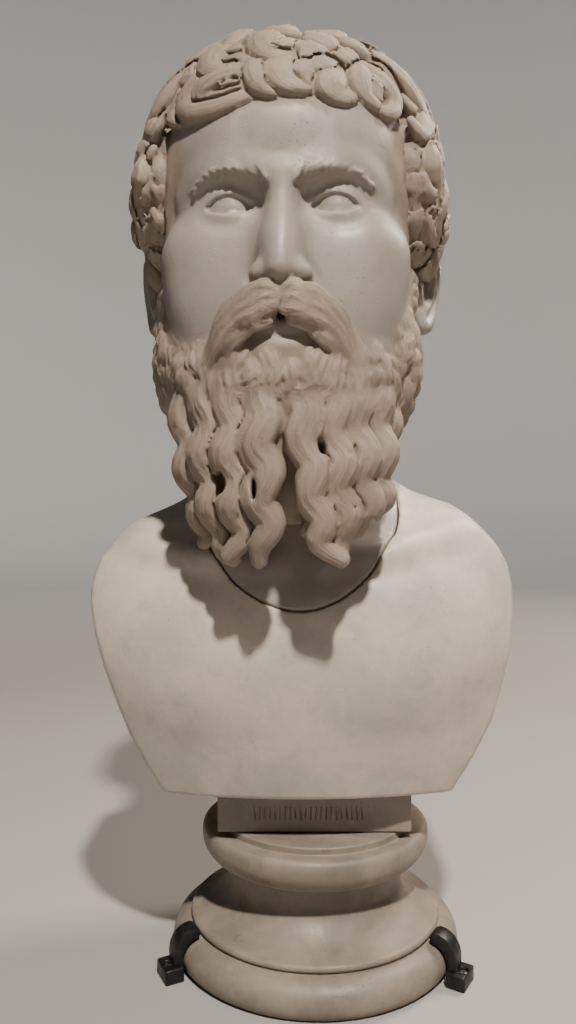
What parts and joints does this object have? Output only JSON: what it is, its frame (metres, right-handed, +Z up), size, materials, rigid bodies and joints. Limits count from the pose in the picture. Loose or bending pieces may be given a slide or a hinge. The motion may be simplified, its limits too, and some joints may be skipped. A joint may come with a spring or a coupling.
{
  "type": "marble portrait bust",
  "caption": "Carved marble bust of a curly-haired, bearded man, its neck set into a cut-off chest, on a name tablet and a turned socle that black retaining clips hold down.",
  "frame": {"origin": "centre of the socle's underside", "axes": "+Z up, the face looks along -Y, +X is to the viewer's right when facing the bust"},
  "size_m": [0.2943, 0.2624, 0.6499],
  "materials": {
    "head_marble": "carved, polished on the face, brown patina in the hair and beard",
    "chest_marble": "smooth, warm white with faint grey clouds",
    "socle_marble": "smooth, grey stains",
    "clip_rubber": "satin black",
    "screw_steel": "bright"
  },
  "bodies": {
    "root": {"head": "head_marble", "chest": "chest_marble", "socle": "socle_marble", "clip_left": "clip_rubber", "clip_right": "clip_rubber", "screw_left": "screw_steel", "screw_right": "screw_steel"}
  },
  "joints": []
}
